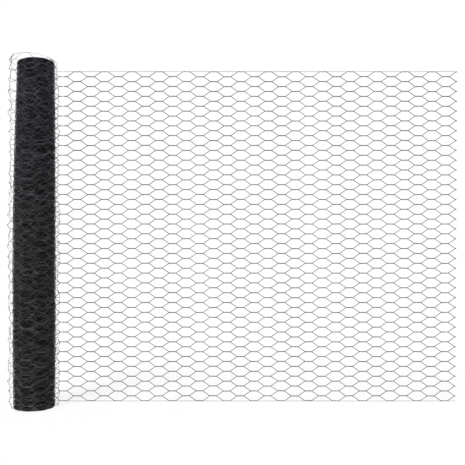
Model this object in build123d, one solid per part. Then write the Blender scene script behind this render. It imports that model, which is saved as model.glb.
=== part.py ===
from build123d import *
from math import atan2, ceil, cos, hypot, pi, sin
import os

# A roll of black coated hexagonal wire netting that stands on its end, in millimetres.
# It is one piece of stock: most of it is wound tight, one turn stands loose round that,
# and the rest is pulled out flat and stands on its edge.
# The origin is on the axis of the roll, on the floor. +Z runs up the roll, +X runs
# towards the free end, and the pulled-out netting passes the roll on its +Y side.

# Sizes of the netting
wire = 1.6               # coated wire, which is also the thickness of the netting
joint_width = 2.8        # two wires twisted about each other
edge_wire = 0.9          # the straight wire along each edge of the netting
twist_length = 19.0      # a twisted joint, along the netting
slant_run = 18.65        # a single wire between two joints, measured along the netting
mesh_pitch = 27.2        # from joint to joint up a column
cell_rows = 33           # whole cells across the width, and half a cell more
free_columns = 41        # columns of joints from the wound roll to the free end
cut_stub = 2.5           # wire left past the last slants at the cut end

# Sizes of the wound roll
bore_radius = 20.0
turns = 16
turn_pitch = 2.05        # from turn to turn at the belly
foot_taper = 1.9         # how much less the radius is at the foot than at the belly
top_taper = 6.9          # how much less the radius is at the top than at the belly
belly_height = 320.0
groove_width = 0.7       # the gap between two turns, seen on the ends
groove_depth = 1.2

# Places of the loose turn and the pulled-out netting
stand_off = 9.2          # from the belly of the roll to the pulled-out netting
bend_x = 3.3             # where the flat netting begins to bend round the roll
loop_slack = 14.2        # how much larger the loose turn's first half is than the belly
seat_gap = 0.3           # between the roll and the end of the loose turn
flat_nodes = 6           # the pulled-out netting is divided into this many

# Sizes that follow from these
column_pitch = twist_length + slant_run
half_pitch = mesh_pitch / 2
edge_line = joint_width / 2
netting_width = (cell_rows + 0.5) * mesh_pitch + joint_width
roll_radius = bore_radius + turns * turn_pitch
sheet_y = roll_radius + stand_off

# The loose turn is two arcs, and the second one comes to rest on the roll.
loop_radius = roll_radius + loop_slack
facet_sag = twist_length**2 / (8 * loop_radius)
seat_radius = roll_radius + seat_gap + wire / 2 + facet_sag
front_y = sheet_y - 2 * loop_radius
closing_radius = (seat_radius**2 - bend_x**2 - front_y**2) / (2 * (front_y + seat_radius))
closing_y = front_y + closing_radius
first_half = pi * loop_radius
closing_turn = pi - atan2(-bend_x, -closing_y)
loose_length = first_half + closing_radius * closing_turn
loose_columns = ceil((loose_length + twist_length / 2) / column_pitch)


def path_point(distance):
    """Plan point of the netting, at a distance along it from its seat on the roll."""
    along = loose_length - distance
    if along <= 0:
        return Vector(bend_x - along, sheet_y)
    if along <= first_half:
        angle = along / loop_radius
        return Vector(bend_x - loop_radius * sin(angle), sheet_y - loop_radius * (1 - cos(angle)))
    angle = (along - first_half) / closing_radius
    return Vector(bend_x + closing_radius * sin(angle), closing_y - closing_radius * cos(angle))


def joint_ends(column):
    """Plan points of the two ends of a column's joints."""
    middle = column * column_pitch
    return path_point(middle - twist_length / 2), path_point(middle + twist_length / 2)


def opening(before, after, low, high):
    """One opening, round its middle, with its slants' runs as seen square to the joint."""
    tip = slant_run - wire / 2 * hypot(slant_run, half_pitch) / half_pitch
    levels = [low, 0, high] if low < 0 < high else [low, high]
    runs = [(tip - abs(level) * slant_run / half_pitch) / slant_run for level in levels]
    right = [(twist_length / 2 + run * after, level) for run, level in zip(runs, levels)]
    left = [(-twist_length / 2 - run * before, level) for run, level in zip(runs, levels)]
    return make_face(Polyline(*right, *reversed(left), close=True))


def openings(column, before, after):
    """The openings up one column, whose joints start on the lower edge or half a cell above it."""
    inside = half_pitch - joint_width / 2
    faces = []
    for row in range(cell_rows + 1):
        middle = edge_line + row * mesh_pitch
        low, high = -inside, inside
        if (free_columns - column) % 2 == 0:
            middle += half_pitch
            high = -edge_wire / 2 if row == cell_rows else inside
        else:
            low = edge_wire / 2 if row == 0 else -inside
        faces.append(Pos(0, middle) * opening(before, after, low, high))
    return faces


def bent_wall(column):
    """Closed strip from one column's joints to the next one's, flat from bend to bend."""
    bends = [column * column_pitch + twist_length / 2, (column + 1) * column_pitch - twist_length / 2]
    middles = [(start + finish) / 2 for start, finish in map(joint_ends, (column, column + 1))]
    plan = [middles[0]] + [path_point(bend) for bend in bends] + [middles[1]]
    ways = [(b - a).normalized() for a, b in zip(plan, plan[1:])]
    sides = [Vector(-way.Y, way.X) for way in ways]
    mitres = [sides[0]] + [(a + b) / (1 + a.dot(b)) for a, b in zip(sides, sides[1:])] + [sides[-1]]
    outer = [point + mitre * (wire / 2) for point, mitre in zip(plan, mitres)]
    inner = [point - mitre * (wire / 2) for point, mitre in zip(plan, mitres)]
    return extrude(make_face(Polyline(*outer, *reversed(inner), close=True)), netting_width)


def bent_openings(column):
    """Solids that cut one column's openings out of the bent strip, square to its joints."""
    start, finish = joint_ends(column)
    way = (finish - start).normalized()
    before = (start - path_point(column * column_pitch - twist_length / 2 - slant_run)).dot(way)
    after = (path_point(column * column_pitch + twist_length / 2 + slant_run) - finish).dot(way)
    face = Plane(origin=(start + finish) / 2, x_dir=way, z_dir=Vector(way.Y, -way.X))
    return extrude(face * Compound(openings(column, before, after)), slant_run / 2, both=True)


def flat_netting(first, last):
    """Netting pulled out straight, from one column's joints to another's or to the cut end."""
    start = path_point(first * column_pitch).X
    end = path_point(last * column_pitch).X
    whole = list(range(first + 1, last))
    across = [first, last]
    if last == free_columns:
        end += twist_length / 2 + slant_run + cut_stub
        whole.append(last)
        across = [first, last + 1]
    rim = Polyline((start, 0), (end, 0), (end, netting_width), (start, netting_width), close=True)
    windows = {}
    for column in whole + across:
        place = Pos(path_point(column * column_pitch).X)
        windows[column] = [place * face for face in openings(column, slant_run, slant_run)]
    holes = [face.face().outer_wire() for column in whole for face in windows[column]]
    face = Face(Wire(rim.edges()), holes) - [face for column in across for face in windows[column]]
    back = Plane(origin=(0, sheet_y + wire / 2, 0), x_dir=(1, 0, 0), z_dir=(0, -1, 0))
    return extrude(back * face, wire)


def end_grooves(radius, level, inward):
    """Grooves between the turns, in section, on one end of the roll."""
    pitch = (radius - bore_radius) / turns
    cuts = []
    for turn in range(1, turns):
        middle = bore_radius + turn * pitch
        cuts.append(
            make_face(
                Polyline(
                    (middle - groove_width / 2, level),
                    (middle, level + inward * groove_depth),
                    (middle + groove_width / 2, level),
                    close=True,
                )
            )
        )
    return cuts


def wound_roll():
    """Tight part of the roll: turned, with its bore, and its turns on both ends."""
    foot_radius = roll_radius - foot_taper
    top_radius = roll_radius - top_taper
    outline = [
        Line((bore_radius, 0), (foot_radius, 0)),
        ThreePointArc((foot_radius, 0), (roll_radius, belly_height), (top_radius, netting_width)),
        Line((top_radius, netting_width), (bore_radius, netting_width)),
        Line((bore_radius, netting_width), (bore_radius, 0)),
    ]
    section = make_face(Wire(outline))
    section -= end_grooves(foot_radius, 0, 1) + end_grooves(top_radius, netting_width, -1)
    return revolve(Plane.XZ * section, Axis.Z)


def shares(first, last, parts):
    """Columns at which a stretch of netting is divided between its nodes."""
    return [first + round((last - first) * part / parts) for part in range(parts + 1)]


os.makedirs("parts", exist_ok=True)
export_step(wound_roll(), "parts/wound_roll.step")

cutters = [bent_openings(column) for column in range(loose_columns + 1)]
for column in range(loose_columns):
    netting = bent_wall(column) - cutters[column : column + 2]
    export_step(netting, f"parts/loose_turn_{column + 1:02}.step")

flat = shares(loose_columns, free_columns, flat_nodes)
for number, (first, last) in enumerate(zip(flat, flat[1:]), 1):
    export_step(flat_netting(first, last), f"parts/pulled_out_{number}.step")
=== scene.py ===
"""Studio scene of a roll of black coated hexagonal wire netting that stands on its end.

The netting is modelled as its own wires. Every wire is drawn flat first, in the plane of
the unrolled netting: x runs along the netting from its inner end to its free end, y is
square to it and z runs up it. The whole is then wound along one plan line: a tight spiral,
one loose turn round that, and a straight pulled-out length.
"""
import logging
from dataclasses import dataclass, field
from enum import Enum
from math import atan2, cos, pi, radians, sin, tau

import bpy
import numpy as np
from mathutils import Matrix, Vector


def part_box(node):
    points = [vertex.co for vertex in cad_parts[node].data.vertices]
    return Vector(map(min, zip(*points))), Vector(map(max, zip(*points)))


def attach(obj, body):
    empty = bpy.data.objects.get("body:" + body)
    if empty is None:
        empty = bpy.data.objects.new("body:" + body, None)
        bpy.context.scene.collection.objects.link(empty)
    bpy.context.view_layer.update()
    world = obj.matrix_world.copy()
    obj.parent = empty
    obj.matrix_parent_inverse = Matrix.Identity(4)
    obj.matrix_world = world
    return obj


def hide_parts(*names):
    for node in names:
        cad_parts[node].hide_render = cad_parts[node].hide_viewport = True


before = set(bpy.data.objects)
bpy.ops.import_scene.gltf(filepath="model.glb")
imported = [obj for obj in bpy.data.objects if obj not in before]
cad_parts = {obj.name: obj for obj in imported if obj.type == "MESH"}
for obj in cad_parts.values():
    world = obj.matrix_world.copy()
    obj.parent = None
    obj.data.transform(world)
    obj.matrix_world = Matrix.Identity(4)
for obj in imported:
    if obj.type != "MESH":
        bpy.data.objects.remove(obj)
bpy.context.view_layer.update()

log = logging.getLogger("netting")

MM = 0.001
WELD = 0.01 * MM
WHITE = (1.0, 1.0, 1.0, 1.0)
FULL = (1.0, 1.0)
SLOT = "coated_wire"
BODY = "root"
# The wound and loose wires' share of the pulled-out wires' thickness, from the photo
FINENESS = 0.46
LOOSE_NODES = sorted(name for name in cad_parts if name.startswith("loose_turn"))
FLAT_NODES = sorted(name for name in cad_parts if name.startswith("pulled_out"))


class Strand(Enum):
    """The kinds of wire that make the netting."""

    UPPER = "upper"
    LOWER = "lower"
    TOP_EDGE = "top_edge"
    BOTTOM_EDGE = "bottom_edge"


class Section(Enum):
    """How round a wire's section is drawn, as the curve's own bevel resolution."""

    FOUR_SIDED = 0
    SIX_SIDED = 1


def only(piece: bpy.types.Object) -> None:
    """Selects one object and makes it the active one."""
    bpy.ops.object.select_all(action="DESELECT")
    piece.select_set(True)
    bpy.context.view_layer.objects.active = piece


def apply_modifier(piece: bpy.types.Object, kind: str, **settings: object) -> None:
    """Adds a modifier to a piece and applies it.

    Args:
        piece: the piece to change.
        kind: the modifier's type.
        settings: values of the modifier's own properties.
    """
    only(piece)
    modifier = piece.modifiers.new(kind.lower(), kind)
    for name, value in settings.items():
        setattr(modifier, name, value)
    bpy.ops.object.modifier_apply(modifier=modifier.name)


def stack(piece: bpy.types.Object, copies: int, rise: float) -> None:
    """Repeats a piece upwards, each copy a rise above the one before it."""
    apply_modifier(
        piece, "ARRAY", count=copies, use_relative_offset=False, use_constant_offset=True,
        constant_offset_displace=(0, 0, rise),
    )


def make_cage(low: Vector, high: Vector, counts: tuple[int, int, int]) -> bpy.types.Object:
    """Makes a lattice that fills a box.

    Args:
        low: the box's lowest corner.
        high: the box's highest corner.
        counts: how many points it has along x, y and z.

    Returns:
        The lattice, straight along each side that has two points and smooth along the others.
    """
    bpy.ops.object.select_all(action="DESELECT")
    bpy.ops.object.add(type="LATTICE", location=(low + high) / 2)
    cage = bpy.context.object
    cage.scale = high - low
    cage.data.points_u, cage.data.points_v, cage.data.points_w = counts
    cage.data.interpolation_type_u = "KEY_LINEAR" if counts[0] == 2 else "KEY_CARDINAL"
    cage.data.interpolation_type_v = "KEY_LINEAR" if counts[1] == 2 else "KEY_CARDINAL"
    cage.data.interpolation_type_w = "KEY_LINEAR" if counts[2] == 2 else "KEY_CARDINAL"
    return cage


def cage_points(cage: bpy.types.Object) -> list[tuple[bpy.types.LatticePoint, Vector]]:
    """Every point of a lattice with its place in the scene."""
    scale = cage.scale
    return [
        (point, cage.location + Vector(a * b for a, b in zip(point.co_deform, scale)))
        for point in cage.data.points
    ]


def move_point(cage: bpy.types.Object, point: bpy.types.LatticePoint, place: Vector) -> None:
    """Moves one point of a lattice to a place in the scene."""
    point.co_deform = Vector(a / b for a, b in zip(place - cage.location, cage.scale))


def draw_wire(
    points: list[Vector],
    radius: float,
    repeats: int,
    section: Section,
    shares: tuple[float, float] = FULL,
) -> bpy.types.Object:
    """Draws one wire point by point and gives it its round section.

    Args:
        points: the wire's middle line over one period, from end to end.
        radius: half the wire's thickness.
        repeats: how many periods the wire runs.
        section: how round its section is.
        shares: how much of its thickness the wire has up to its last period, and at its end.

    Returns:
        The wire as a closed mesh.
    """
    bpy.ops.object.select_all(action="DESELECT")
    bpy.ops.mesh.primitive_plane_add(size=radius, location=(0, 0, 0))
    piece = bpy.context.object
    bpy.ops.object.mode_set(mode="EDIT")
    bpy.ops.mesh.select_all(action="SELECT")
    bpy.ops.mesh.merge(type="CENTER")
    bpy.ops.transform.translate(value=points[0])
    for before, after in zip(points, points[1:]):
        bpy.ops.mesh.extrude_region_move(TRANSFORM_OT_translate={"value": after - before})
    bpy.ops.object.mode_set(mode="OBJECT")
    if repeats > 1:
        apply_modifier(
            piece, "ARRAY", count=repeats, use_relative_offset=False, use_constant_offset=True,
            constant_offset_displace=points[-1] - points[0], use_merge_vertices=True,
            merge_threshold=WELD,
        )
    only(piece)
    bpy.ops.object.convert(target="CURVE")
    period = points[-1].x - points[0].x
    end = points[0].x + repeats * period
    for spline in piece.data.splines:
        for point in spline.points:
            left = min(1.0, (end - point.co.x) / period)
            point.radius = shares[1] + (shares[0] - shares[1]) * left
    piece.data.bevel_depth = radius
    piece.data.bevel_resolution = section.value
    piece.data.use_fill_caps = True
    bpy.ops.object.convert(target="MESH")
    bpy.ops.object.shade_smooth()
    return piece


@dataclass(frozen=True)
class CoatedWireFinish:
    """Black plastic coat on steel wire: half gloss, faintly scuffed, and bluer towards its top."""

    name: str = SLOT
    # shade scales both colours: above 1 it is painted light, below 1 painted shade, giving lit and
    # shaded copies of the coat
    shade: float = 1.0
    deep: tuple[float, float, float] = (0.009, 0.009, 0.0095)
    worn: tuple[float, float, float] = (0.066, 0.064, 0.069)
    roughness: tuple[float, float] = (0.26, 0.42)
    blue: tuple[float, float, float] = (1.0, 0.96, 1.28)
    blue_heights: tuple[float, float] = (0.45, 0.85)
    gloss: float = 0.25
    mottle_scale: float = 55.0
    mottle_detail: float = 4.0
    colour_range: tuple[float, float] = (0.35, 0.68)
    roughness_range: tuple[float, float] = (0.3, 0.7)
    grain_scale: float = 900.0
    grain_detail: float = 2.0
    grain_depth: float = 0.1 * MM
    bump: float = 0.25

    def material(self) -> bpy.types.Material:
        """Makes the material.

        Returns:
            The finished material.
        """
        material = bpy.data.materials.new(self.name)
        material.use_nodes = True
        nodes, links = material.node_tree.nodes, material.node_tree.links
        shader = nodes["Principled BSDF"]
        shader.inputs["Specular IOR Level"].default_value = self.gloss
        place = nodes.new("ShaderNodeTexCoord")

        mottle = nodes.new("ShaderNodeTexNoise")
        mottle.inputs["Scale"].default_value = self.mottle_scale
        mottle.inputs["Detail"].default_value = self.mottle_detail
        links.new(place.outputs["Object"], mottle.inputs["Vector"])

        colour = nodes.new("ShaderNodeValToRGB")
        stops = zip(colour.color_ramp.elements, self.colour_range, (self.deep, self.worn))
        for stop, position, tone in stops:
            stop.position = position
            # painted light or shade: both colours scaled by the shade
            stop.color = (*(self.shade * value for value in tone), 1.0)
        links.new(mottle.outputs["Fac"], colour.inputs["Fac"])

        heights = nodes.new("ShaderNodeSeparateXYZ")
        links.new(place.outputs["Object"], heights.inputs[0])
        high = nodes.new("ShaderNodeMapRange")
        high.inputs["From Min"].default_value = self.blue_heights[0]
        high.inputs["From Max"].default_value = self.blue_heights[1]
        links.new(heights.outputs["Z"], high.inputs["Value"])
        tint = nodes.new("ShaderNodeMix")
        tint.data_type = "RGBA"
        tint.blend_type = "MULTIPLY"
        tint.inputs["B"].default_value = (*self.blue, 1.0)
        links.new(high.outputs["Result"], tint.inputs["Factor"])
        links.new(colour.outputs["Color"], tint.inputs["A"])
        links.new(tint.outputs["Result"], shader.inputs["Base Color"])

        gloss = nodes.new("ShaderNodeMapRange")
        gloss.inputs["From Min"].default_value = self.roughness_range[0]
        gloss.inputs["From Max"].default_value = self.roughness_range[1]
        gloss.inputs["To Min"].default_value = self.roughness[0]
        gloss.inputs["To Max"].default_value = self.roughness[1]
        links.new(mottle.outputs["Fac"], gloss.inputs["Value"])
        links.new(gloss.outputs["Result"], shader.inputs["Roughness"])

        grain = nodes.new("ShaderNodeTexNoise")
        grain.inputs["Scale"].default_value = self.grain_scale
        grain.inputs["Detail"].default_value = self.grain_detail
        links.new(place.outputs["Object"], grain.inputs["Vector"])
        relief = nodes.new("ShaderNodeBump")
        relief.inputs["Strength"].default_value = self.bump
        relief.inputs["Distance"].default_value = self.grain_depth
        links.new(grain.outputs["Fac"], relief.inputs["Height"])
        links.new(relief.outputs["Normal"], shader.inputs["Normal"])
        return material


@dataclass(frozen=True)
class WoundBandWiresAndPaintedShade:
    """The innermost turns seen through the outer ones: layers of wire over black painted shade in
    the gaps, each deeper layer painted darker as painted shade.
    """

    # painted shade: the black between the wires stands for shade deep in the roll
    painted_shade_gap: tuple[float, float, float] = (0.001, 0.001, 0.0012)
    # the wires' black coat, darkened further as painted shade deep in the roll
    wires: tuple[float, float, float] = (0.012, 0.012, 0.013)
    cell_scale: float = 60.0
    cell_squash: float = 1.6
    unevenness: float = 0.8
    layers: int = 3
    layer_shift: tuple[float, float, float] = (3.1, 1.7, 0.9)
    # painted shade: each deeper layer's wires are painted darker by this share
    painted_depth_shade: float = 0.5
    wire_share: float = 0.06
    gloss: float = 0.1
    roughness: float = 0.7
    relief: float = 1.0 * MM

    def layer(
        self, tree: bpy.types.NodeTree, place: bpy.types.NodeSocket, number: int
    ) -> bpy.types.NodeSocket:
        """Makes one layer of netting.

        Args:
            tree: the node tree to add to.
            place: the coordinates.
            number: the layer's number, 0 in front.

        Returns:
            A factor that is 1 on the layer's wires, and less on those that lie deeper, which
            paints shade on the deeper layers.
        """
        shift = tree.nodes.new("ShaderNodeMapping")
        shift.inputs["Location"].default_value = [number * way for way in self.layer_shift]
        shift.inputs["Scale"].default_value = (1.0, 1.0, self.cell_squash)
        tree.links.new(place, shift.inputs["Vector"])
        cells = tree.nodes.new("ShaderNodeTexVoronoi")
        cells.feature = "DISTANCE_TO_EDGE"
        cells.inputs["Scale"].default_value = self.cell_scale
        cells.inputs["Randomness"].default_value = self.unevenness
        tree.links.new(shift.outputs[0], cells.inputs["Vector"])
        wires = tree.nodes.new("ShaderNodeMapRange")
        wires.inputs["From Min"].default_value = self.wire_share
        wires.inputs["From Max"].default_value = self.wire_share / 2
        # painted shade: deeper layers reach less than 1
        wires.inputs["To Max"].default_value = 1.0 / (1 + self.painted_depth_shade * number)
        tree.links.new(cells.outputs["Distance"], wires.inputs["Value"])
        return wires.outputs[0]

    def material(self) -> bpy.types.Material:
        """Makes the material.

        Returns:
            The finished material.
        """
        material = bpy.data.materials.new("wound_band")
        material.use_nodes = True
        tree = material.node_tree
        shader = tree.nodes["Principled BSDF"]
        shader.inputs["Roughness"].default_value = self.roughness
        shader.inputs["Specular IOR Level"].default_value = self.gloss
        place = tree.nodes.new("ShaderNodeTexCoord").outputs["Object"]
        total = self.layer(tree, place, 0)
        for number in range(1, self.layers):
            more = tree.nodes.new("ShaderNodeMath")
            more.operation = "MAXIMUM"
            tree.links.new(total, more.inputs[0])
            tree.links.new(self.layer(tree, place, number), more.inputs[1])
            total = more.outputs[0]
        colour = tree.nodes.new("ShaderNodeMix")
        colour.data_type = "RGBA"
        colour.inputs["A"].default_value = (*self.painted_shade_gap, 1.0)
        colour.inputs["B"].default_value = (*self.wires, 1.0)
        tree.links.new(total, colour.inputs["Factor"])
        tree.links.new(colour.outputs["Result"], shader.inputs["Base Color"])
        relief = tree.nodes.new("ShaderNodeBump")
        relief.inputs["Distance"].default_value = self.relief
        tree.links.new(total, relief.inputs["Height"])
        tree.links.new(relief.outputs["Normal"], shader.inputs["Normal"])
        return material


@dataclass(frozen=True)
class Mesh:
    """Sizes of the hexagonal netting.

    A joint is two wires twisted about each other, and the steel sets how close they lie. The
    joints of one column stand a pitch apart.
    """

    wire: float = 1.75 * MM
    steel: float = 1.1 * MM
    edge_wire: float = 0.9 * MM
    twist_length: float = 19.0 * MM
    slant_run: float = 18.65 * MM
    pitch: float = 27.2 * MM
    rows: int = 33
    cut_stub: float = 2.5 * MM

    @property
    def column_pitch(self) -> float:
        """From one column of joints to the next."""
        return self.twist_length + self.slant_run

    @property
    def edge_line(self) -> float:
        """Height of the lowest joints, from the height of the netting."""
        low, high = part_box(FLAT_NODES[0])
        return (high[2] - low[2] - (self.rows + 0.5) * self.pitch) / 2

    @property
    def tail(self) -> float:
        """From the middle of the last column's joints to the cut end."""
        return self.twist_length / 2 + self.slant_run + self.cut_stub


@dataclass(frozen=True)
class Weave:
    """How one wire runs through the netting, and how finely it is drawn."""

    mesh: Mesh
    twists: int
    steps_per_twist: int
    soft_bend: float = 0.09
    soft_rise: float = 0.07
    closeness: float = 1.0

    def joint_side(self, strand: Strand, odd: bool) -> tuple[float, int] | None:
        """Where a wire lies at one column's joints.

        Args:
            strand: the kind of wire.
            odd: whether the column is an odd one, whose joints stand half a cell higher.

        Returns:
            The joint's level over the wire's base level, and the side of the joint that the
            wire comes in on: 1 above, -1 below. None where the wire passes with no joint.
        """
        half = self.mesh.pitch / 2
        if strand is Strand.UPPER:
            return (half, -1) if odd else (0.0, 1)
        if strand is Strand.LOWER:
            return (-half, 1) if odd else (0.0, -1)
        if strand is Strand.TOP_EDGE:
            return (0.0, 1) if odd else None
        return None if odd else (0.0, -1)

    def twist(
        self, middle: float, level: float, side: int, start: float, stop: float
    ) -> list[Vector]:
        """Points along a twisted joint.

        Args:
            middle: x of the joint's middle.
            level: height of the joint's axis.
            side: the side that the wire comes in on.
            start: share of the joint at which the points begin.
            stop: share of the joint at which they end.

        Returns:
            The points, both ends included.
        """
        count = round((stop - start) * self.twists * self.steps_per_twist)
        points = []
        for step in range(count + 1):
            share = start + (stop - start) * step / count
            angle = tau * self.twists * share
            offset = side * self.closeness * self.mesh.steel / 2
            along = middle + (share - 0.5) * self.mesh.twist_length
            points.append(Vector((along, offset * sin(angle), level + offset * cos(angle))))
        return points

    def slant(self, start: Vector, finish: Vector) -> list[Vector]:
        """Points between two joints, with the soft bends at both ends of a slanting wire."""
        run, rise = self.soft_bend, self.soft_rise
        length, climb = finish.x - start.x, finish.z - start.z
        return [
            Vector((start.x + length * along, 0.0, start.z + climb * up))
            for along, up in ((run, rise), (1 - run, 1 - rise))
        ]

    def line(self, strand: Strand) -> list[Vector]:
        """One period of a wire, from an even column's middle to the next even column's.

        Args:
            strand: the kind of wire.

        Returns:
            The points of the wire's middle line, from the height of its base level.
        """
        pitch = self.mesh.column_pitch
        even, odd = self.joint_side(strand, False), self.joint_side(strand, True)
        level = self.mesh.steel / 2
        if even and odd:
            first = self.twist(0.0, *even, 0.5, 1.0)
            middle = self.twist(pitch, *odd, 0.0, 1.0)
            last = self.twist(2 * pitch, *even, 0.0, 0.5)
            there, back = self.slant(first[-1], middle[0]), self.slant(middle[-1], last[0])
            return first + there + middle + back + last
        if even:
            return self.twist(0.0, *even, 0.5, 1.0) + self.twist(2 * pitch, *even, 0.0, 0.5)
        ends = [Vector((0.0, 0.0, level)), Vector((2 * pitch, 0.0, level))]
        return [ends[0], *self.twist(pitch, *odd, 0.0, 1.0), ends[1]]

    def cut_line(self, strand: Strand) -> list[Vector]:
        """The last stretch of a wire, from an even column's middle to the cut end."""
        end = self.mesh.tail
        level = self.mesh.steel / 2
        if strand is Strand.TOP_EDGE:
            return [Vector((0.0, 0.0, level)), Vector((end, 0.0, level))]
        points = self.twist(0.0, *self.joint_side(strand, False), 0.5, 1.0)
        if strand is Strand.BOTTOM_EDGE:
            return points + [Vector((end, 0.0, -level))]
        rise, side = self.joint_side(strand, True)
        meeting = Vector((end - self.mesh.cut_stub, 0.0, rise + side * level))
        stub = meeting + Vector((self.mesh.cut_stub, 0.0, 0.0))
        return points + self.slant(points[-1], meeting) + [meeting, stub]


@dataclass
class PlanLine:
    """The line that the netting follows in plan, from its inner end to its free end.

    The open turns are drawn wire by wire and stand a little proud of the solid, and the band
    turns lie under them. Over the landing, a share of a turn, the outermost one rises to the
    seat where the loose turn leaves it.
    """

    mesh: Mesh
    bore_radius: float = 20.0 * MM
    inner_clearance: float = 1.0 * MM
    open_turns: float = 13.0
    open_pitch: float = 0.4 * MM
    open_proud: float = 3.0 * MM
    band_turns: float = 10.0
    seat_gap: float = 0.3 * MM
    landing: float = 0.16
    step: float = radians(4.0)
    curve: bpy.types.Object = field(init=False)
    bend_at: float = field(init=False)
    bend_x: float = field(init=False)

    def spiral(self, seat: Vector, outer: float) -> list[Vector]:
        """Points of the tight turns, from the inner end to the seat of the loose turn.

        Args:
            seat: where the loose turn leaves the tight ones.
            outer: radius of the outermost tight turn's wires.

        Returns:
            The points in the order of the netting.
        """
        inner = self.bore_radius + self.inner_clearance
        turns = self.open_turns + self.band_turns
        band_pitch = (outer - self.open_turns * self.open_pitch - inner) / self.band_turns
        count = round(turns * tau / self.step)
        seat_angle = atan2(seat.y, seat.x)
        points = []
        for number in range(count + 1):
            turn = turns * (1 - number / count)
            deeper = max(0.0, turn - self.open_turns)
            landing = max(0.0, 1 - turn / self.landing) ** 2 * (seat.length - outer)
            radius = outer - self.open_pitch * (turn - deeper) - band_pitch * deeper + landing
            angle = seat_angle + tau * turn
            points.append(Vector((radius * cos(angle), radius * sin(angle), 0.0)))
        return points

    def arc(self, middle: Vector, radius: float, start: float, sweep: float) -> list[Vector]:
        """Points of an arc without its first one, turning clockwise from an angle."""
        count = max(2, round(sweep / self.step))
        angles = [start - sweep * (number + 1) / count for number in range(count)]
        return [middle + radius * Vector((cos(angle), sin(angle), 0.0)) for angle in angles]

    def build(self) -> "PlanLine":
        """Draws the line from the places of the CAD nodes.

        Returns:
            The plan line itself, with its curve made.
        """
        half_wire = self.mesh.wire / 2
        roll_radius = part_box("wound_roll")[1][0]
        sheet_y = (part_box(FLAT_NODES[0])[0][1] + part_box(FLAT_NODES[0])[1][1]) / 2
        loose = [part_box(name) for name in LOOSE_NODES]
        front_y = min(low[1] for low, _ in loose) + half_wire
        left_x = min(low[0] for low, _ in loose) + half_wire
        free_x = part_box(FLAT_NODES[-1])[1][0]

        loop_radius = (sheet_y - front_y) / 2
        self.bend_x = left_x + loop_radius
        seat_radius = roll_radius + self.seat_gap + half_wire
        closing = (seat_radius**2 - self.bend_x**2 - front_y**2) / (2 * (front_y + seat_radius))
        closing_y = front_y + closing
        closing_turn = pi - atan2(-self.bend_x, -closing_y)
        closing_middle = Vector((self.bend_x, closing_y, 0.0))
        start = closing_turn - pi / 2
        seat = closing_middle + closing * Vector((cos(start), sin(start), 0.0))

        points = self.spiral(seat, roll_radius - half_wire + self.open_proud)
        loop_middle = Vector((self.bend_x, sheet_y - loop_radius, 0.0))
        points += self.arc(closing_middle, closing, start, closing_turn)
        points += self.arc(loop_middle, loop_radius, -pi / 2, pi)
        self.bend_at = self.length(points)
        points.append(Vector((free_x, sheet_y, 0.0)))

        data = bpy.data.curves.new("plan_line", "CURVE")
        data.dimensions = "3D"
        data.twist_mode = "Z_UP"
        line = data.splines.new("POLY")
        line.points.add(len(points) - 1)
        for spot, point in zip(line.points, points):
            spot.co = (*point, 1.0)
        self.curve = bpy.data.objects.new("plan_line", data)
        bpy.context.collection.objects.link(self.curve)
        return self

    @staticmethod
    def length(points: list[Vector]) -> float:
        """Length of a line through points."""
        return sum((after - before).length for before, after in zip(points, points[1:]))

    def column_at(self, column: int) -> float:
        """Distance from the inner end to a column: 0 is the last one, -1 the one before it."""
        free_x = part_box(FLAT_NODES[-1])[1][0]
        last = self.bend_at + free_x - self.mesh.tail - self.bend_x
        return last + column * self.mesh.column_pitch

    def remove(self) -> None:
        """Deletes the line once everything has been wound along it."""
        bpy.data.objects.remove(self.curve)


@dataclass
class Unevenness:
    """How far hand-worked netting strays from its flat, even form.

    It strays along one axis, as far as half the strength either way, in waves of the scale. It
    is held within a distance of the rims and of the ends, in bands that let go step by step.
    """

    name: str
    axis: str
    strength: float
    scale: float
    rim_hold: float = 1 * MM
    end_hold: float = 1 * MM
    bands: int = 12

    def hold(self, piece: bpy.types.Object) -> str:
        """Marks how freely each part of the netting strays, least at its rims and ends.

        Args:
            piece: the flat piece of netting.

        Returns:
            The name of the vertex group.
        """
        group = piece.vertex_groups.new(name=self.name)
        places = np.empty(3 * len(piece.data.vertices), dtype=np.float32)
        piece.data.vertices.foreach_get("co", places)
        along, heights = places[0::3], places[2::3]
        from_rim = np.minimum(heights - heights.min(), heights.max() - heights) / self.rim_hold
        from_end = np.minimum(along - along.min(), along.max() - along) / self.end_hold
        band = np.clip((np.minimum(from_rim, from_end) * self.bands).astype(int), 0, self.bands)
        for number in range(1, self.bands + 1):
            group.add(np.flatnonzero(band == number).tolist(), number / self.bands, "REPLACE")
        return group.name

    def apply(self, piece: bpy.types.Object) -> None:
        """Strays a flat piece of netting."""
        texture = bpy.data.textures.new(self.name, "CLOUDS")
        texture.noise_scale = self.scale
        texture.noise_depth = 1
        apply_modifier(
            piece, "DISPLACE", texture=texture, texture_coords="LOCAL", direction=self.axis,
            strength=self.strength, mid_level=0.5, vertex_group=self.hold(piece),
        )


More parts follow.
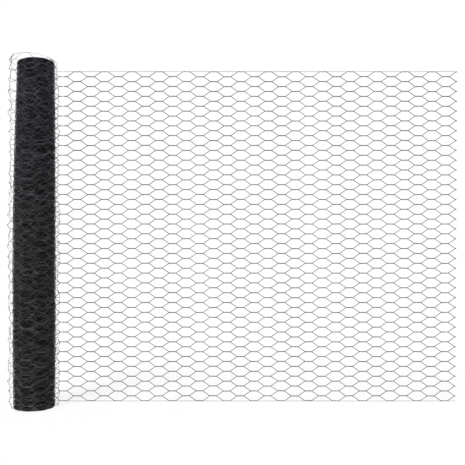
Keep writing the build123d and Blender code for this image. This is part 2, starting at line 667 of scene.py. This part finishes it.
@dataclass
class NettingPiece:
    """One stretch of netting, between two even columns of joints."""

    name: str
    plan: PlanLine
    weave: Weave
    first: int
    last: int
    section: Section
    strays: tuple[Unevenness, ...] = ()
    cut: bool = False
    shares: tuple[float, float] = FULL

    def strands(self, cut: bool) -> list[bpy.types.Object]:
        """Makes every wire of the stretch, or of its cut end.

        Args:
            cut: whether to make the cut end instead of the whole periods.

        Returns:
            One object for each kind of wire.
        """
        mesh = self.weave.mesh
        column = self.last if cut else self.first
        start = self.plan.column_at(column)
        top = mesh.edge_line + (mesh.rows + 0.5) * mesh.pitch
        levels = {
            Strand.UPPER: (mesh.edge_line, mesh.rows + 1, mesh.wire),
            Strand.LOWER: (mesh.edge_line + mesh.pitch, mesh.rows, mesh.wire),
            Strand.TOP_EDGE: (top, 1, mesh.edge_wire),
            Strand.BOTTOM_EDGE: (mesh.edge_line, 1, mesh.edge_wire),
        }
        pieces = []
        for strand, (level, copies, thickness) in levels.items():
            points = self.weave.cut_line(strand) if cut else self.weave.line(strand)
            repeats = 1 if cut else (self.last - self.first) // 2
            shares = self.shares if copies > 1 else FULL
            piece = draw_wire(points, thickness / 2, repeats, self.section, shares)
            piece.location = (start, 0, level)
            only(piece)
            bpy.ops.object.transform_apply(location=True, rotation=False, scale=False)
            if copies > 1:
                stack(piece, copies, mesh.pitch)
            pieces.append(piece)
        return pieces

    def build(self) -> bpy.types.Object:
        """Makes the stretch and winds it along the plan line.

        Returns:
            The finished piece.
        """
        wires = self.strands(False)
        if self.cut:
            wires += self.strands(True)
        only(wires[0])
        for wire in wires[1:]:
            wire.select_set(True)
        bpy.ops.object.join()
        piece = wires[0]
        piece.name = piece.data.name = self.name
        for stray in self.strays:
            stray.apply(piece)
        apply_modifier(piece, "CURVE", object=self.plan.curve, deform_axis="POS_X")
        return piece


def finish_piece(piece: bpy.types.Object, coat: bpy.types.Material, nodes: list[str]) -> None:
    """Gives a piece its coat and its body, and hides the CAD nodes that it stands for."""
    piece.data.materials.clear()
    piece.data.materials.append(coat)
    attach(piece, BODY)
    if nodes:
        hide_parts(*nodes)
    log.info("%s: %d faces", piece.name, len(piece.data.polygons))


@dataclass(frozen=True)
class OpenSpan:
    """Tight turns that are drawn wire by wire, from their first column to their last."""

    name: str
    twists: int
    steps_per_twist: int
    first: int
    last: int


@dataclass
class WoundRoll:
    """The tightly wound turns of netting.

    The painted light and shade go from the outermost open span in to the rim wires: the outer
    turns and the rims are painted lighter, the deeper turns painted darker.
    """

    plan: PlanLine
    mesh: Mesh
    open_spans: tuple[OpenSpan, ...] = (
        OpenSpan("tight_turns_outer", 2, 5, -60, -42),
        OpenSpan("tight_turns_middle", 1, 4, -86, -60),
        OpenSpan("tight_turns_inner", 1, 4, -116, -86),
        OpenSpan("tight_turns_innermost", 1, 4, -142, -116),
    )
    belly_height: float = 320.0 * MM
    foot_taper: float = 1.9 * MM
    top_taper: float = 6.9 * MM
    top_lean: float = 4.5 * MM
    top_tilt: float = 3.5 * MM
    foot_tilt: float = 3.0 * MM
    # painted light and shade: colour factors, above 1 on the outer turns and the rims and below 1
    # deeper in, as if lit or in shade
    painted_light_and_shade: tuple[float, ...] = (1.55, 1.45, 0.85, 0.3, 1.5)
    gloss: float = 0.4
    levels: int = 9
    cage_reach: float = 1.2
    band_step: float = 3.6 * MM
    band_thickness: float = 0.8 * MM
    smooth_up_to: float = radians(40)
    pieces: list[bpy.types.Object] = field(default_factory=list)

    def cage(self) -> bpy.types.Object:
        """Makes the cage that draws the roll in at both ends and sets it a little askew.

        Returns:
            A lattice round the roll, slimmer at both ends, whose rims aren't quite level.
        """
        radius, _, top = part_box("wound_roll")[1]
        reach = self.cage_reach * radius
        corners = Vector((-reach, -reach, 0)), Vector((reach, reach, top))
        cage = make_cage(*corners, (2, 2, self.levels))
        for point, place in cage_points(cage):
            above = place.z - self.belly_height
            taper = self.foot_taper * (above / self.belly_height) ** 2
            lean = 0.0
            if above > 0:
                rise = (above / (top - self.belly_height)) ** 2
                taper, lean = self.top_taper * rise, self.top_lean * rise
            share = 1 - taper / radius
            height, side = place.z / top, place.x / radius
            lift = (1 - height) * self.foot_tilt * (1 - side) / 2 + height * self.top_tilt * side
            moved = Vector((place.x * share + lean, place.y * share, place.z + lift))
            move_point(cage, point, moved)
        return cage

    def band(self, length: float, height: float) -> bpy.types.Object:
        """Makes the innermost turns, too close to be drawn wire by wire, as one wound band.

        Args:
            length: how long the band is, flat.
            height: how high it is between its two rim wires.

        Returns:
            The band, flat.
        """
        bpy.ops.object.select_all(action="DESELECT")
        bpy.ops.mesh.primitive_grid_add(
            x_subdivisions=round(length / self.band_step), y_subdivisions=2 * self.levels, size=1,
            location=(length / 2, 0, self.mesh.edge_line + height / 2), rotation=(pi / 2, 0, 0),
        )
        sheet = bpy.context.object
        sheet.name = sheet.data.name = "wound_band"
        sheet.scale = (length, height, 1)
        bpy.ops.object.transform_apply(location=True, rotation=True, scale=True)
        apply_modifier(sheet, "SOLIDIFY", thickness=self.band_thickness, offset=0.0)
        bpy.ops.object.shade_smooth_by_angle(angle=self.smooth_up_to)
        return sheet

    def rims(self, length: float, height: float) -> bpy.types.Object:
        """Makes the band's two rim wires, which show its turns on the roll's ends.

        Args:
            length: how long the band is, flat.
            height: from the lower rim to the upper one.

        Returns:
            Both wires, flat.
        """
        repeats = int(length / self.band_step)
        step = Vector((length / repeats, 0, 0))
        rims = draw_wire([Vector(), step], self.mesh.wire / 2, repeats, Section.SIX_SIDED)
        rims.name = rims.data.name = "wound_rims"
        rims.location.z = self.mesh.edge_line
        bpy.ops.object.transform_apply(location=True, rotation=False, scale=False)
        stack(rims, 2, height)
        return rims

    def build(self) -> None:
        """Makes the tight turns: open netting outside, one wound band inside."""
        wobble = (
            Unevenness("turns_radial", "Y", 3.0 * MM, 40 * MM),
            Unevenness("turns_height", "Z", 60.0 * MM, 100 * MM, rim_hold=110 * MM),
            Unevenness(
                "turns_along", "X", 30.0 * MM, 80 * MM, rim_hold=110 * MM, end_hold=60 * MM
            ),
        )
        cage = self.cage()
        for span in self.open_spans:
            weave = Weave(self.mesh, span.twists, span.steps_per_twist, closeness=FINENESS)
            netting = NettingPiece(
                span.name, self.plan, weave, span.first, span.last, Section.FOUR_SIDED, wobble,
                shares=(FINENESS, FINENESS),
            )
            self.pieces.append(netting.build())
        length = self.plan.column_at(self.open_spans[-1].first)
        height = (self.mesh.rows + 0.5) * self.mesh.pitch
        for piece in (self.rims(length, height), self.band(length, height)):
            wobble[0].apply(piece)
            apply_modifier(piece, "CURVE", object=self.plan.curve, deform_axis="POS_X")
            self.pieces.append(piece)
        for piece in self.pieces:
            apply_modifier(piece, "LATTICE", object=cage)
        bpy.data.objects.remove(cage)

    def dress(self) -> None:
        """Finishes the turns, each span painted lighter or darker, as painted light or shade of
        its own.
        """
        for number, (piece, shade) in enumerate(zip(self.pieces, self.painted_light_and_shade)):
            # the deeper turns' painted shade cuts their gloss too
            gloss = self.gloss * min(1.0, shade)
            coat = CoatedWireFinish(name=piece.name, shade=shade, gloss=gloss).material()
            finish_piece(piece, coat, ["wound_roll"] if number == 0 else [])
        # the band gets its pattern of wires with its painted shade
        finish_piece(self.pieces[-1], WoundBandWiresAndPaintedShade().material(), [])


@dataclass
class LooseTurn:
    """The one turn that stands loose round the tight ones."""

    plan: PlanLine
    mesh: Mesh
    first: int = -42
    last: int = -28
    foot_lift: float = 12.0 * MM
    top_lift: float = 3.0 * MM
    front_draw: float = 4.0 * MM
    top_draw: float = 4.0 * MM
    piece: bpy.types.Object = field(init=False)

    def cage(self) -> bpy.types.Object:
        """Makes the cage that lifts the turn's front and draws in its front and its top.

        Returns:
            A lattice round the loose turn, unmoved up to half the height of its back.
        """
        boxes = [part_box(name) for name in LOOSE_NODES]
        low = Vector(min(corner) for corner in zip(*(low for low, _ in boxes)))
        high = Vector(max(corner) for corner in zip(*(high for _, high in boxes)))
        cage = make_cage(low, high, (2, 2, 3))
        for point, place in cage_points(cage):
            frontness = (high.y - place.y) / (high.y - low.y)
            height = (place.z - low.z) / (high.z - low.z)
            lift = self.foot_lift + (self.top_lift - self.foot_lift) * height
            draw = self.front_draw * frontness + self.top_draw * max(0.0, 2 * height - 1)
            side = -place.x / high.x
            move_point(cage, point, place + Vector((draw * side, 0, lift * frontness)))
        return cage

    def build(self) -> None:
        """Makes the loose turn, which strays most."""
        weave = Weave(self.mesh, twists=2, steps_per_twist=5, closeness=FINENESS)
        strays = (
            Unevenness("loose_out", "Y", 8.0 * MM, 60 * MM, end_hold=60 * MM),
            Unevenness("loose_cells", "Y", 13.0 * MM, 16 * MM, end_hold=60 * MM),
            Unevenness("loose_up", "Z", 8.0 * MM, 40 * MM, rim_hold=30 * MM, end_hold=60 * MM),
        )
        netting = NettingPiece(
            "loose_turn", self.plan, weave, self.first, self.last, Section.SIX_SIDED, strays,
            shares=(FINENESS, 1.0),
        )
        self.piece = netting.build()
        cage = self.cage()
        apply_modifier(self.piece, "LATTICE", object=cage)
        bpy.data.objects.remove(cage)

    def dress(self, coat: bpy.types.Material) -> None:
        """Finishes the loose turn."""
        finish_piece(self.piece, coat, LOOSE_NODES)


@dataclass
class PulledOut:
    """The flat netting that runs off to the free end."""

    plan: PlanLine
    mesh: Mesh
    first: int = -28
    top_reach: float = 5.0 * MM
    pieces: list[bpy.types.Object] = field(default_factory=list)

    def cage(self) -> bpy.types.Object:
        """Makes the cage that draws the netting a little farther out at its top.

        Returns:
            A lattice round the flat netting, unmoved at the roll and along the floor.
        """
        low, high = Vector(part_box(FLAT_NODES[0])[0]), Vector(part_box(FLAT_NODES[-1])[1])
        cage = make_cage(low, high, (2, 2, 2))
        for point, place in cage_points(cage):
            share = (place.x - low.x) / (high.x - low.x) * (place.z - low.z) / (high.z - low.z)
            move_point(cage, point, place + Vector((self.top_reach * share, 0, 0)))
        return cage

    def build(self) -> None:
        """Makes the flat netting in two lengths, the second with the cut wire ends."""
        weave = Weave(self.mesh, twists=2, steps_per_twist=5)
        strays = (
            Unevenness("flat_out", "Y", 3.0 * MM, 120 * MM, end_hold=60 * MM),
            Unevenness("flat_up", "Z", 1.2 * MM, 40 * MM, end_hold=60 * MM),
        )
        middle = self.first // 2
        lengths = ("pulled_out_near", self.first, middle), ("pulled_out_far", middle, 0)
        for name, first, last in lengths:
            netting = NettingPiece(
                name, self.plan, weave, first, last, Section.SIX_SIDED, strays, cut=last == 0
            )
            self.pieces.append(netting.build())
        cage = self.cage()
        for piece in self.pieces:
            apply_modifier(piece, "LATTICE", object=cage)
        bpy.data.objects.remove(cage)

    def dress(self, coat: bpy.types.Material) -> None:
        """Finishes the flat netting."""
        half = len(FLAT_NODES) // 2
        finish_piece(self.pieces[0], coat, FLAT_NODES[:half])
        finish_piece(self.pieces[1], coat, FLAT_NODES[half:])


@dataclass(frozen=True)
class PhotoCamera:
    """A camera with the photograph's framing."""

    image_width: float = 465.0
    focal: float = 555.0
    eye_row: float = 260.5
    sensor: float = 36.0
    place: tuple[float, float, float] = (0.5266, -1.4754, 0.3899)

    def build(self) -> None:
        """Places the camera level, looking along +Y."""
        data = bpy.data.cameras.new("photo_camera")
        data.sensor_width = self.sensor
        data.lens = self.focal / self.image_width * self.sensor
        data.shift_y = (self.eye_row - self.image_width / 2) / self.image_width
        camera = bpy.data.objects.new("photo_camera", data)
        camera.location = self.place
        camera.rotation_euler = (pi / 2, 0.0, 0.0)
        bpy.context.collection.objects.link(camera)
        bpy.context.scene.camera = camera


@dataclass(frozen=True)
class Studio:
    """Plain white surroundings and soft lights."""

    floor_size: float = 60.0
    floor_white: float = 0.9
    shade: float = 0.12
    sky: float = 0.3

    def white_for_sight(self, tree: bpy.types.NodeTree) -> bpy.types.NodeSocket:
        """Makes a factor that is 1 for camera, glossy and transmission rays.

        Args:
            tree: the node tree to add to.

        Returns:
            The socket that holds the factor.
        """
        rays = tree.nodes.new("ShaderNodeLightPath")
        total = rays.outputs["Is Camera Ray"]
        for name in ("Is Glossy Ray", "Is Transmission Ray"):
            add = tree.nodes.new("ShaderNodeMath")
            add.operation = "MAXIMUM"
            tree.links.new(total, add.inputs[0])
            tree.links.new(rays.outputs[name], add.inputs[1])
            total = add.outputs[0]
        return total

    def world(self) -> None:
        """Makes the white world, dimmer as a lamp than as a background."""
        world = bpy.data.worlds.new("studio")
        bpy.context.scene.world = world
        world.use_nodes = True
        tree = world.node_tree
        tree.nodes["Background"].inputs["Strength"].default_value = self.sky
        tree.nodes["Background"].inputs["Color"].default_value = WHITE
        seen = tree.nodes.new("ShaderNodeBackground")
        seen.inputs["Color"].default_value = WHITE
        seen.inputs["Strength"].default_value = 1.0
        mix = tree.nodes.new("ShaderNodeMixShader")
        tree.links.new(self.white_for_sight(tree), mix.inputs["Fac"])
        tree.links.new(tree.nodes["Background"].outputs[0], mix.inputs[1])
        tree.links.new(seen.outputs[0], mix.inputs[2])
        tree.links.new(mix.outputs[0], tree.nodes["World Output"].inputs["Surface"])

    def floor(self) -> None:
        """Makes the white floor, which keeps a faint shadow."""
        bpy.ops.object.select_all(action="DESELECT")
        bpy.ops.mesh.primitive_plane_add(size=self.floor_size, location=(0, 0, 0))
        floor = bpy.context.object
        floor.name = "studio_floor"
        material = bpy.data.materials.new("studio_floor")
        material.use_nodes = True
        tree = material.node_tree
        matt = tree.nodes["Principled BSDF"]
        matt.inputs["Base Color"].default_value = (*[self.floor_white] * 3, 1.0)
        matt.inputs["Roughness"].default_value = 1.0
        matt.inputs["Specular IOR Level"].default_value = 0.0
        glow = tree.nodes.new("ShaderNodeEmission")
        share = tree.nodes.new("ShaderNodeMath")
        share.operation = "MULTIPLY"
        share.inputs[1].default_value = 1 - self.shade
        tree.links.new(self.white_for_sight(tree), share.inputs[0])
        mix = tree.nodes.new("ShaderNodeMixShader")
        tree.links.new(share.outputs[0], mix.inputs["Fac"])
        tree.links.new(matt.outputs[0], mix.inputs[1])
        tree.links.new(glow.outputs[0], mix.inputs[2])
        tree.links.new(mix.outputs[0], tree.nodes["Material Output"].inputs["Surface"])
        floor.data.materials.append(material)

    def lamp(
        self, name: str, azimuth: float, elevation: float, strength: float, width: float
    ) -> None:
        """Adds one wide, soft light that is even over the whole floor.

        Args:
            name: the light's name.
            azimuth: where it comes from, in degrees to the right of the camera.
            elevation: how high it stands, in degrees.
            strength: its power on a square metre.
            width: how wide it is, in degrees.
        """
        data = bpy.data.lights.new(name, "SUN")
        data.angle = radians(width)
        data.energy = strength
        lamp = bpy.data.objects.new(name, data)
        lamp.rotation_euler = (radians(90 - elevation), 0.0, radians(azimuth))
        bpy.context.collection.objects.link(lamp)

    def build(self) -> None:
        """Sets up the studio."""
        bpy.context.scene.view_settings.view_transform = "Standard"
        self.world()
        self.floor()
        self.lamp("key_light", azimuth=-30.0, elevation=55.0, strength=2.8, width=20.0)
        self.lamp("fill_light", azimuth=40.0, elevation=35.0, strength=0.5, width=60.0)


def main() -> None:
    """Builds the whole scene."""
    logging.basicConfig(level=logging.INFO, format="%(message)s")
    PhotoCamera().build()
    Studio().build()
    mesh = Mesh()
    coat = CoatedWireFinish().material()
    plan = PlanLine(mesh).build()
    for part in (PulledOut, LooseTurn):
        builder = part(plan, mesh)
        builder.build()
        builder.dress(coat)
    roll = WoundRoll(plan, mesh)
    roll.build()
    roll.dress()
    plan.remove()


if __name__ == "__main__":
    main()
